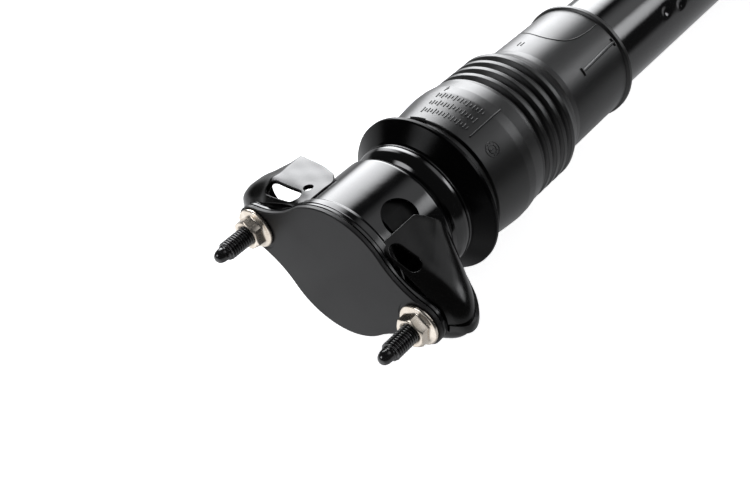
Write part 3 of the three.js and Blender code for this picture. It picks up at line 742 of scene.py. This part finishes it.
def flank_v(stations, x, y):
    """The v of a point at y on the upper flank, or just past its crease."""
    reach, crease_y, _ = smooth_line(stations, x)
    if y <= crease_y:
        return CREASE_V * (y - WING_EDGE[0]) / (crease_y - WING_EDGE[0])
    return CREASE_V + (y - crease_y) * 1.2


def wing(name, stations, side, half, holes, slope_deg, soften, dents):
    """half is the border of the upper half, as (x, v, radius). It is mirrored for the lower half."""
    edge = 0.42
    border = rounded(half, steps=6, closed=False)
    border += [(x, 2 * MIDDLE_V - v) for x, v in reversed(border)]
    surface = wing_surface(stations, side, slope_deg, soften, dents)
    verts, faces = pressed_sheet(surface, [border] + holes, WING_SHEET, edge, side < 0)
    piece = new_piece(name + "_look", "mount", "gloss_black_paint", verts, faces, [name], sharp_deg=50)
    piece.data.materials[0] = WING_PAINT


def on_flanks(stations, loop):
    """A loop of (x, y) points on the upper flank, and its mirror on the lower one."""
    upper = [(x, flank_v(stations, x, y)) for x, y in loop]
    return [upper, [(x, 2 * MIDDLE_V - v) for x, v in upper]]


def wings():
    end = 38.6
    left = [(29, MIDDLE_V - 1), (29, 46.6, 5.5), (end - 0.2, 46.6, 1.5), (38.0, 33, 4), (35.0, 15, 8),
            (31.4, 4.5, 4), (26.5, 0, 4), (8.6, 0, 1.5), (5.5, 6, 2.0), (5.5, MIDDLE_V - 1)]
    slot = on_flanks(LEFT_STATIONS, slot_loop((10.3, 33.8), (11.9, 49.9), 3.6))
    drain = [(16.9 + 2.5 * cos(FULL * k / 24), 8.6 + 2.5 * sin(FULL * k / 24)) for k in range(24)]
    wing("wing_left", LEFT_STATIONS, 1, left, slot + [drain], 44, 1.4, 0.9)
    right = [(end, MIDDLE_V - 1), (end, 26, 4), (35.4, 7, 4), (32.4, 0, 1.6), (7.4, 0, 1.5), (5.5, 5, 2.0),
             (5.5, MIDDLE_V - 1)]
    slot = on_flanks(RIGHT_STATIONS, slot_loop((10.4, 29.6), (11.3, 38.6), 3.6))
    wing("wing_right", RIGHT_STATIONS, -1, right, slot, 34, 12, 0.5)


# ---- studs and nuts

def stud(side, y):
    """A rolled M10 x 1.5 thread with a smooth bullet tip and a weld head behind the flange."""
    name = "stud_" + side
    tip, head = low[name][0], 5.5
    pitch, crest, root, neck, around = 1.5, 4.97, 4.05, 3.62, 60
    bullet = [(0, 0.05), (0.1, 0.8), (0.4, 1.6), (0.9, 2.3), (1.6, 2.85), (2.6, 3.3), (3.8, 3.54), (5.2, neck)]
    thread_from, thread_to, shank = tip + 5.4, 3.0, 4.6
    steps = [tip + a for a, _ in bullet]
    x = thread_from
    while x < thread_to:
        steps.append(x)
        x += pitch / 12
    steps += [3.1, 4.2, head - 0.3]

    def radius(x, turn):
        if x < thread_from:
            for (a0, r0), (a1, r1) in zip(bullet, bullet[1:]):
                if x - tip <= a1:
                    return r0 + (r1 - r0) * (x - tip - a0) / (a1 - a0)
            return neck
        if x > thread_to:
            return shank
        phase = ((x / pitch) - turn / FULL) % 1
        height = min(1, max(0, 1.42 - abs(phase - 0.5) * 3.3))
        grown = min(1, (x - thread_from) / 2.0)
        top = neck + (crest - neck) * grown
        bottom = neck + (root - neck) * grown
        return bottom + (top - bottom) * height

    turns = [FULL * k / around for k in range(around)]
    rings = [(x, [radius(x, turn) for turn in turns]) for x in steps]
    weld_head = rounded([(head - 0.3, shank), (head, 7, 0.3), (head + 2, 7, 0.5), (head + 2, 0.02)], steps=4,
                        closed=False)[1:]
    rings += [(x, [r] * around) for x, r in weld_head]
    verts = [(x, y + r * cos(turn), r * sin(turn)) for x, radii in rings for r, turn in zip(radii, turns)]
    faces = []
    rows = len(rings)
    for i in range(rows - 1):
        for k in range(around):
            m = (k + 1) % around
            faces.append((i * around + k, (i + 1) * around + k, (i + 1) * around + m, i * around + m))
    faces.append(tuple(range(around)))
    faces.append(tuple(range((rows - 1) * around, rows * around))[::-1])
    new_piece(name + "_look", "mount", "black_steel", verts, faces, [name], sharp_deg=60, weighted=False)


def hex_radius(turn, flats, soft=0.2):
    """A hexagon's radius with its six corners slightly rounded."""
    flat = flats / 2 / cos((turn % (pi / 3)) - pi / 6)
    corner = flats / sqrt(3) - 0.12
    return -soft * log(exp(-flat / soft) + exp(-corner / soft))


def flange_nut(side, y, spin_deg):
    """Columns of one profile round the nut, closer together near the six corners."""
    name = "flange_nut_" + side
    top, seat = low[name][0], high[name][0]
    flats, bore, rim = 15.0, 5.1, 10.88
    cone_top, cone_low = 7.15, 9.9
    x_cone = seat - 1.75
    offsets = [0, 8, 14, 19, 22.5, 25, 26.5, 27.6, 28.5, 29.3, 30]
    turns = []
    for k in range(6):
        turns += [radians(60 * k + o) for o in offsets]
        turns += [radians(60 * k + 60 - o) for o in reversed(offsets[1:-1])]
    spin = radians(spin_deg)
    columns = []
    for turn in turns:
        h = hex_radius(turn, flats)
        x_meet = x_cone - (cone_low - h) * 0.42
        x_chamfer = top + max(0.0, (h - cone_top)) * 0.62
        profile = [(seat, bore + 0.5), (seat, rim - 0.6), (seat - 0.12, rim - 0.2), (seat - 0.4, rim),
                   (seat - 1.15, rim), (seat - 1.5, rim - 0.15), (x_cone, rim - 0.55),
                   (x_cone - 0.05, cone_low + 0.1), (x_meet + 0.35, h + 0.75), (x_meet + 0.08, h + 0.22),
                   (x_meet - 0.2, h + 0.03), (x_meet - 0.5, h), (x_chamfer + 0.25, h), (x_chamfer + 0.08, h - 0.05),
                   (x_chamfer - 0.08, h - 0.2), (top + 0.12, cone_top + 0.16), (top + 0.02, cone_top),
                   (top, cone_top - 0.3),
                   (top, bore + 0.95), (top + 0.1, bore + 0.75), (top + 0.75, bore), (seat - 0.6, bore)]
        columns.append([(x, r * sin(turn + spin) + y, r * cos(turn + spin)) for x, r in profile])
    verts, faces = closed_rings(columns)
    new_piece(name + "_look", "mount", "nickel_plating", verts, faces, [name], sharp_deg=35, weighted=False)


# ---- dish, boot and bump stop

def boot_dish():
    """A rounded neck, then a flare whose paint is duller than the neck's."""
    x0, x1, rim = DISH_X0, DISH_X1, DISH_R
    flare_x = x0 + 11.9
    outside = [(x0, 6.3), (x0, 29.4, 1), (x0 + 0.9, 31.4, 2), (x0 + 2.8, 33.4, 4), (x0 + 5.2, 34.7, 6),
               (x0 + 7.6, 35.3, 4), (x0 + 9.6, 35.3, 2.4), (x0 + 11.4, 34.5, 1.0), (x0 + 12.8, 35.6, 1.5),
               (x1 - 3.1, rim - 0.5, 1.0), (x1 - 2.2, rim, 0.5), (x1 - 0.5, rim, 0.45), (x1, rim - 0.7, 0.4)]
    inside = [(x1, rim - 2.2, 0.4), (x1 - 1.4, rim - 2.9, 1), (x0 + 14.2, 33.6, 2), (x0 + 12, 32.1, 1.5),
              (x0 + 9.4, 32.8, 2), (x0 + 7.6, 32.8, 2), (x0 + 3.8, 31.2, 2), (x0 + 2.5, 29.2, 1), (x0 + 2.5, 6.3)]
    dish = turned("boot_dish_look", "mount", "dish_black_paint", rounded(outside + inside, steps=6), ["boot_dish"],
                  segments=192, sharp_deg=30)
    dish.data.materials.append(FLARE_PAINT)
    for face in dish.data.polygons:
        face.material_index = int(face.center.x > flare_x * MM)


RIB_STARTS = [121 + 7 * i for i in range(4)]


def boot_profile():
    """The boot's outside: collar, barrel, ribs, shoulder, sleeve and end rim."""
    points = [(BOOT_X0, 36.4, 0.5), (80.2, 37.2, 0.4), (81.0, 38.7, 0.5), (88, 39.3, 6), (96, 40.2, 10),
              (104, 40.9, 10), (110, 40.7, 6), (115, 39.9, 5), (118.5, 39.4, 2), (120.2, 39.4, 0.5)]
    for x in RIB_STARTS:
        points += [(x + 0.7, 37.0, 0.5), (x + 2.2, 37.1, 0.7), (x + 3.5, 39.3, 0.9), (x + 6.1, 39.4, 0.6)]
    points += [(151.0, 38.2, 2), (154.5, 36, 3), (157.5, 34.6, 3), (162, 33.9, 4), (200, 33.6, 0), (211, 33.5, 0.6),
               (212.0, 34.9, 0.5), (214.3, 34.9, 0.6), (BOOT_X1, 34.3, 0.3)]
    return rounded(points, steps=5, closed=False)


def radius_at(profile, x):
    for (x0, r0), (x1, r1) in zip(profile, profile[1:]):
        if x0 <= x <= x1 and x1 > x0:
            return r0 + (r1 - r0) * (x - x0) / (x1 - x0)
    return profile[-1][1]


def raised_strip(profile, path, width, height, sunk=0.25):
    """A raised bead of the given width along (x, degrees) points on the boot, as its own closed mesh."""
    half = width / 2
    places = []
    for x, turn in path:
        r = radius_at(profile, x)
        places.append(Vector((x, r * radians(turn))))
    rows = []
    for i, here in enumerate(places):
        before = places[max(i - 1, 0)]
        after = places[min(i + 1, len(places) - 1)]
        along = (after - before).normalized()
        across = Vector((-along.y, along.x))
        cap = 0.0 if 0 < i < len(places) - 1 else (-half if i == 0 else half)
        row = []
        for offset, lift in ((-1.15, -sunk), (-0.95, height * 0.2), (-0.68, height * 0.75), (-0.35, height),
                             (0.35, height), (0.68, height * 0.75), (0.95, height * 0.2), (1.15, -sunk)):
            spot = here + across * offset * half + along * cap * 0.6
            r = radius_at(profile, spot.x)
            turn = spot.y / radius_at(profile, here.x)
            row.append((spot.x, (r + lift) * sin(turn), (r + lift) * cos(turn)))
        rows.append(row)
    return rings_mesh(rows)


def joined(parts):
    verts, faces = [], []
    for part_verts, part_faces in parts:
        start = len(verts)
        verts += part_verts
        faces += [tuple(start + i for i in face) for face in part_faces]
    return verts, faces


def dust_boot():
    outside = boot_profile()
    inside = rounded([(BOOT_X1, 31.4, 0.3), (162, 31.6, 3), (157, 32.4, 3), (152.5, 34.8, 3), (149, 35.0, 2),
                      (119, 35.0, 3), (110, 38.3, 5), (104, 38.6, 5), (96, 38, 5), (82, 36.2, 2),
                      (BOOT_X0, 34, 0.5)], steps=4, closed=False)
    parts = [turned_mesh(outside + inside, 192)]

    def strip(path, width, height):
        parts.append(raised_strip(outside, path, width, height))

    strip([(86.0 + 24.0 * k / 12, -22.6) for k in range(13)], 1.0, 0.7)
    strip([(80.9, 14.5 + 1.4 * k) for k in range(10)], 1.7, 0.8)
    seam = [(185.5, 41), (183.2, 30), (181.2, 20), (180.2, 12), (180.4, 4), (182, -3), (184.2, -8.5),
            (187.2, -12.3), (191.5, -15), (196.5, -16.6), (203, -17.4), (210.6, -17.7)]
    strip(smoothed(seam), 0.55, 0.3)
    for turn in (23.4, 19.6):
        strip([(168.6, turn), (170.0, turn), (171.6, turn)], 0.8, 0.3)
    strip([(178.3 + 31 * k / 10, -42.8 + 2.2 * k / 10) for k in range(11)], 1.9, 1.0)
    for x, turn in ((177.9, -42.9), (209.8, -40.5)):
        strip([(x, turn - 3.2), (x, turn), (x, turn + 3.2)], 1.5, 1.0)
    dial_x, dial_turn, dial_r, boot_r = 90.6, -39.8, 3.9, 39.4

    def on_dial(r, turn):
        return dial_x + r * cos(turn), dial_turn + degrees(r * sin(turn) / boot_r)

    for r, width in ((dial_r, 0.5), (dial_r * 0.55, 0.4)):
        strip([on_dial(r, FULL * k / 28) for k in range(29)], width, 0.22)
    strip([(dial_x - 1.4, dial_turn), (dial_x, dial_turn), (dial_x + 1.4, dial_turn)], 0.6, 0.3)
    for k in range(10):
        strip([on_dial(dial_r * q, radians(36 * k)) for q in (0.72, 0.88)], 0.35, 0.22)
    dashes = (3.4, 1.5, 2.6, 1.5)
    for row, x in enumerate((88.6, 95.0, 101.4)):
        for k in range(16):
            turn, size = 24 - 2.7 * k, dashes[(row + k) % 4]
            strip([(x - size / 2, turn), (x, turn), (x + size / 2, turn)], 0.75, 0.32)
    for turn in (21.4, 23.4):
        strip([(106.4, 22.4), (108.4, turn)], 0.5, 0.25)
    strip([(105.6, 22.4), (109.6, 22.4)], 0.5, 0.25)
    verts, faces = joined(parts)
    new_piece("dust_boot_look", "mount", "boot_plastic", verts, faces, ["dust_boot"], sharp_deg=40)


def smoothed(points, between=3):
    """The points joined by a smooth curve through all of them."""
    result = []
    for i in range(len(points) - 1):
        p0, p1, p2, p3 = points[max(i - 1, 0)], points[i], points[i + 1], points[min(i + 2, len(points) - 1)]
        for k in range(between):
            t = k / between
            result.append(tuple(0.5 * (2 * b + (c - a) * t + (2 * a - 5 * b + 4 * c - d) * t * t
                                       + (3 * b - a - 3 * c + d) * t ** 3) for a, b, c, d in zip(p0, p1, p2, p3)))
    result.append(points[-1])
    return result


def bump_stop():
    x0, x1 = low["bump_stop"][0], high["bump_stop"][0]
    points = [(x0, 7.6, 0.5), (x0, 19, 0.8)]
    steps = 40
    for i in range(steps + 1):
        along = i / steps
        taper = max(0, along - 0.66) * 14
        wave = 3.2 * (0.5 - 0.5 * cos(along * 3 * FULL))
        points.append((x0 + 2 + along * (x1 - x0 - 3), 20 - wave - taper, 0))
    points += [(x1, 12, 1), (x1, 7.6, 0.5)]
    stop = turned("bump_stop_look", "mount", "foam", rounded(points), ["bump_stop"], segments=72)
    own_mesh(stop)


def piston_rod():
    x0, x1 = low["piston_rod"][0], high["piston_rod"][0]
    points = [(x0, 0.02, 0), (x0, 5.2, 0.3), (x0 + 0.9, 6, 0.3)]
    x = x0 + 2
    while x < 46:
        points += [(x, 6.0, 0), (x + 0.5, 5.45, 0), (x + 0.75, 5.45, 0), (x + 1.25, 6.0, 0)]
        x += 1.5
    points += [(53.1, 6, 0), (53.1, 7, 0.4), (236.4, 7, 0.4), (236.4, 5, 0), (x1 - 0.8, 5, 0.2), (x1, 4.3, 0.2),
               (x1, 0.02, 0)]
    turned("piston_rod_look", "mount", "hard_chrome", rounded(points), ["piston_rod"], segments=96)


# ---- damper

def damper_tube():
    x0, x1, r = TUBE_X0, TUBE_X1, TUBE_R
    wall, dimple_r, dimple_depth = 1.8, 5.2, 1.35
    profile = rounded([(x0, 22, 0.5), (x0, r, 2.6), (x1, r, 0.3), (x1, r - wall, 0.2), (x0 + wall, r - wall, 1.2),
                       (x0 + wall, 22, 0.5)], steps=8)
    dense = []
    for i, (x, rad) in enumerate(profile):
        nx, nr = profile[(i + 1) % len(profile)]
        pieces = max(1, int(abs(nx - x) / 2.0)) if rad > r - 0.5 and nr > r - 0.5 else 1
        dense += [(x + (nx - x) * k / pieces, rad + (nr - rad) * k / pieces) for k in range(pieces)]
    dimples = [(266.6, -56.5), (282.2, -61.5)]

    def warp(x, rad, turn):
        if rad > r - 0.4:
            for dx, dt in dimples:
                away = hypot(x - dx, (turn - radians(dt) + pi) % FULL * r - pi * r)
                if away < dimple_r:
                    shape = 0.5 + 0.5 * cos(pi * away / dimple_r)
                    rad -= dimple_depth * shape ** 1.3
        return x, rad

    turned("reserve_tube_look", "damper", "tube_black_paint", dense, ["reserve_tube"], segments=256, warp=warp)


def base_cup():
    """The tube's welded end, with the rippled weld bead round it."""
    x0, x1 = low["base_cup"][0], high["base_cup"][0]
    end = TUBE_X1
    r = TUBE_R
    points = [(x0, 16.5, 0.4), (x0, 21.5, 0.4), (x0 + 4, 25, 1), (end - 6, r - 2.1, 1), (end + 0.3, r - 2.1, 0),
              (end + 0.3, r - 0.1, 0.5), (end + 1.6, r - 0.6, 1.2), (end + 3.4, r - 4, 2), (x1, r - 10, 3),
              (x1, 0.02, 0), (x1 - 2.5, 0.02, 0), (x1 - 2.5, 14, 1)]
    parts = [turned_mesh(rounded(points, steps=5), 160)]
    bead_x, bead_r, bead = end + 0.75, r - 0.35, 1.05
    rings = []
    for s in range(224):
        turn = FULL * s / 224
        ripple = 1 + 0.07 * cos(58 * turn) + 0.05 * sin(7 * turn)
        ring = []
        for k in range(10):
            a = FULL * k / 10
            rr = bead_r + bead * 0.62 * ripple * sin(a) - 0.35
            ring.append((bead_x + bead * ripple * cos(a), rr * sin(turn), rr * cos(turn)))
        rings.append(ring)
    parts.append(closed_rings(rings))
    verts, faces = joined(parts)
    new_piece("base_cup_look", "damper", "tube_black_paint", verts, faces, ["base_cup"])


def along_y(verts):
    """Turns a mesh made round +X so that it lies round the eye's own axis."""
    return [(EYE_X - v[1], v[0], v[2]) for v in verts]


def lower_eye():
    half, outer, bore = EYE_HALF, EYE_R, 17.8
    ring = rounded([(-half, bore, 0.6), (-half, outer, 0.9), (half, outer, 0.9), (half, bore, 0.6)])
    verts, faces = turned_mesh(ring, 128)
    x0 = low["lower_eye"][0]
    eye = new_piece("lower_eye_look", "damper", "tube_black_paint", along_y(verts), faces, ["lower_eye"])
    saddle_profile = rounded([(x0, 0.02, 0), (x0, 17, 0.8), (x0 + 2, 17.6, 1), (x0 + 9, 13.2, 4),
                              (EYE_X - 12, 12.2, 2), (EYE_X - 12, 0.02, 0)], steps=6)
    saddle = tool("saddle", *turned_mesh(saddle_profile, 96))
    inner = tool("inner", *prism(round_points(18.6, 96), -40, 40))
    inner.data.transform(Matrix.Rotation(pi / 2, 4, "Z"))
    inner.data.transform(Matrix.Translation((EYE_X * MM, 0, 0)))
    cut(saddle, [inner])
    cut(eye, [saddle], "UNION")


def lower_bush():
    half = EYE_HALF
    grooves = [(-half - 1.2, 9.3, 0.2), (-half - 1.2, 14.6, 0.8), (-half + 1.2, 16.2, 0.8),
               (-half + 1.4, 17.5, 0.4), (half - 1.4, 17.5, 0.4), (half - 1.2, 16.2, 0.8),
               (half + 1.2, 14.6, 0.8), (half + 1.2, 9.3, 0.2)]
    verts, faces = turned_mesh(rounded(grooves), 96)
    new_piece("lower_bush_rubber_look", "damper", "rubber", along_y(verts), faces, ["lower_bush_rubber"])
    long = high["lower_bush_sleeve"][1]
    verts, faces = turned_mesh(rounded([(-long, 6.1, 0.4), (-long, 9, 0.5), (long, 9, 0.5), (long, 6.1, 0.4)]), 96)
    new_piece("lower_bush_sleeve_look", "bolt_sleeve", "nickel_plating", along_y(verts), faces,
              ["lower_bush_sleeve"])


# ---- build

face_plate()
mount_housing()
wings()
for side_name, stud_y, nut_spin in (("left", STUD_Y, 14), ("right", -STUD_Y, 2)):
    stud(side_name, stud_y)
    flange_nut(side_name, stud_y, nut_spin)
boot_dish()
dust_boot()
bump_stop()
piston_rod()
damper_tube()
base_cup()
lower_eye()
lower_bush()

slots = {node: material for material, nodes in {
    "bright_steel": ["isolator_sleeve", "upper_washer", "pressure_tube", "lift_limit_washer", "disc_spacer",
                     "check_disc", "rebound_shims", "foot_spacer", "foot_check_disc", "compression_shims"],
    "rubber": ["isolator_rubber", "rod_seal", "rebound_stop"],
    "nickel_plating": ["rod_nut", "piston_nut"],
    "sintered_steel": ["rod_guide", "piston", "base_valve_body"],
    "bearing_plastic": ["guide_bush", "piston_band"],
    "black_steel": ["valve_pin"],
}.items() for node in nodes}
for node, material in slots.items():
    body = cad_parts[node]
    body.data.materials.clear()
    body.data.materials.append(MATERIALS[material])


# ---- floor, light and camera

def studio():
    """A soft studio all round: a large softbox behind to the left, a small one behind to the right, pale below."""
    world = bpy.data.worlds.new("studio")
    bpy.context.scene.world = world
    world.use_nodes = True
    tree = world.node_tree
    heading = tree.nodes.new("ShaderNodeTexCoord").outputs["Generated"]

    def maths(operation, first, second):
        node = tree.nodes.new("ShaderNodeMath")
        node.operation = operation
        for socket, value in zip(node.inputs, (first, second)):
            if isinstance(value, (int, float)):
                socket.default_value = value
            else:
                tree.links.new(value, socket)
        return node.outputs["Value"]

    def facing(direction, start, full):
        """0 where the heading's share along the direction is at start, 1 at full, smooth between."""
        dot = tree.nodes.new("ShaderNodeVectorMath")
        dot.operation = "DOT_PRODUCT"
        dot.inputs[1].default_value = Vector(direction).normalized()
        tree.links.new(heading, dot.inputs[0])
        ramp = tree.nodes.new("ShaderNodeMapRange")
        ramp.interpolation_type = "SMOOTHSTEP"
        ramp.inputs["From Min"].default_value = start
        ramp.inputs["From Max"].default_value = full
        tree.links.new(dot.outputs["Value"], ramp.inputs["Value"])
        return ramp.outputs["Result"]

    def times(*values):
        result = values[0]
        for value in values[1:]:
            result = maths("MULTIPLY", result, value)
        return result

    def towards(around_deg, up_deg):
        around, up = radians(around_deg), radians(up_deg)
        return cos(up) * cos(around), cos(up) * sin(around), sin(up)

    def lamp(around_deg, up_deg, wide_deg, core_deg, strength):
        """A round softbox that fades from its core out to its full width."""
        edges = cos(radians(wide_deg)), cos(radians(core_deg))
        return times(facing(towards(around_deg, up_deg), *edges), strength)

    softbox = lamp(45, 20, 32, 6, 10)
    second = lamp(-36.5, 31, 14, 4, 4.6)
    overhead = lamp(-26, 47, 28, 5, 0.95)
    front = lamp(147, 31, 16, 5, 5.0)
    below = maths("ADD", times(facing((-0.54, 0.45, -0.71), 0.3, 0.8), 0.7), 0.45)
    shadow = maths("SUBTRACT", 1.0, times(facing((0, 0, -1), 0.8, 0.98), 0.7))
    total = times(facing((0, 0, -1), 0.0, 0.2), below, shadow)
    for light in (softbox, second, overhead, front, 0.05):
        total = maths("ADD", total, light)
    background = tree.nodes["Background"]
    tree.links.new(total, background.inputs["Strength"])
    background.inputs["Color"].default_value = (0.97, 0.98, 1.0, 1)


def floor():
    """A pale plane that the dish's rim and the tube's end touch. Reflections see the studio in its place."""
    rise = atan2(DISH_R - TUBE_R, TUBE_X1 - (DISH_X1 - 2))
    mesh = bpy.data.meshes.new("floor")
    half = 6.0                   # metres
    mesh.from_pydata([(-half, -half, 0), (half, -half, 0), (half, half, 0), (-half, half, 0)], [], [(0, 1, 2, 3)])
    plane = bpy.data.objects.new("floor", mesh)
    bpy.context.scene.collection.objects.link(plane)
    contact = Vector(((DISH_X1 - 2) * MM, 0, -DISH_R * MM - 0.0002))
    plane.matrix_world = Matrix.Translation(contact) @ Matrix.Rotation(-rise, 4, "Y")
    n = Nodes("floor_white")
    settings = {"Base Color": (0.9, 0.9, 0.9, 1), "Roughness": 0.85, "Specular IOR Level": 0.2,
                "Emission Color": (1, 1, 1, 1), "Emission Strength": 0.85}
    for key, value in settings.items():
        n.shader.inputs[key].default_value = value
    mesh.materials.append(n.material)
    plane.visible_glossy = False


def camera():
    lens = bpy.data.cameras.new("camera")
    lens.lens = 57.91
    lens.sensor_width = 36
    lens.clip_start = 0.01
    lens.clip_end = 50
    holder = bpy.data.objects.new("camera", lens)
    bpy.context.scene.collection.objects.link(holder)
    right = Vector((0.6329, -0.7741, -0.0149))
    ahead = Vector((0.5389, 0.4527, -0.7103))
    up = right.cross(ahead)
    right = ahead.cross(up)
    rotation = Matrix((right, up, -ahead)).transposed().to_4x4()
    holder.matrix_world = Matrix.Translation((-0.2916, -0.2700, 0.4161)) @ rotation
    bpy.context.scene.camera = holder


floor()
camera()
studio()
bpy.context.scene.view_settings.view_transform = "Standard"
bpy.context.scene.view_settings.look = "None"
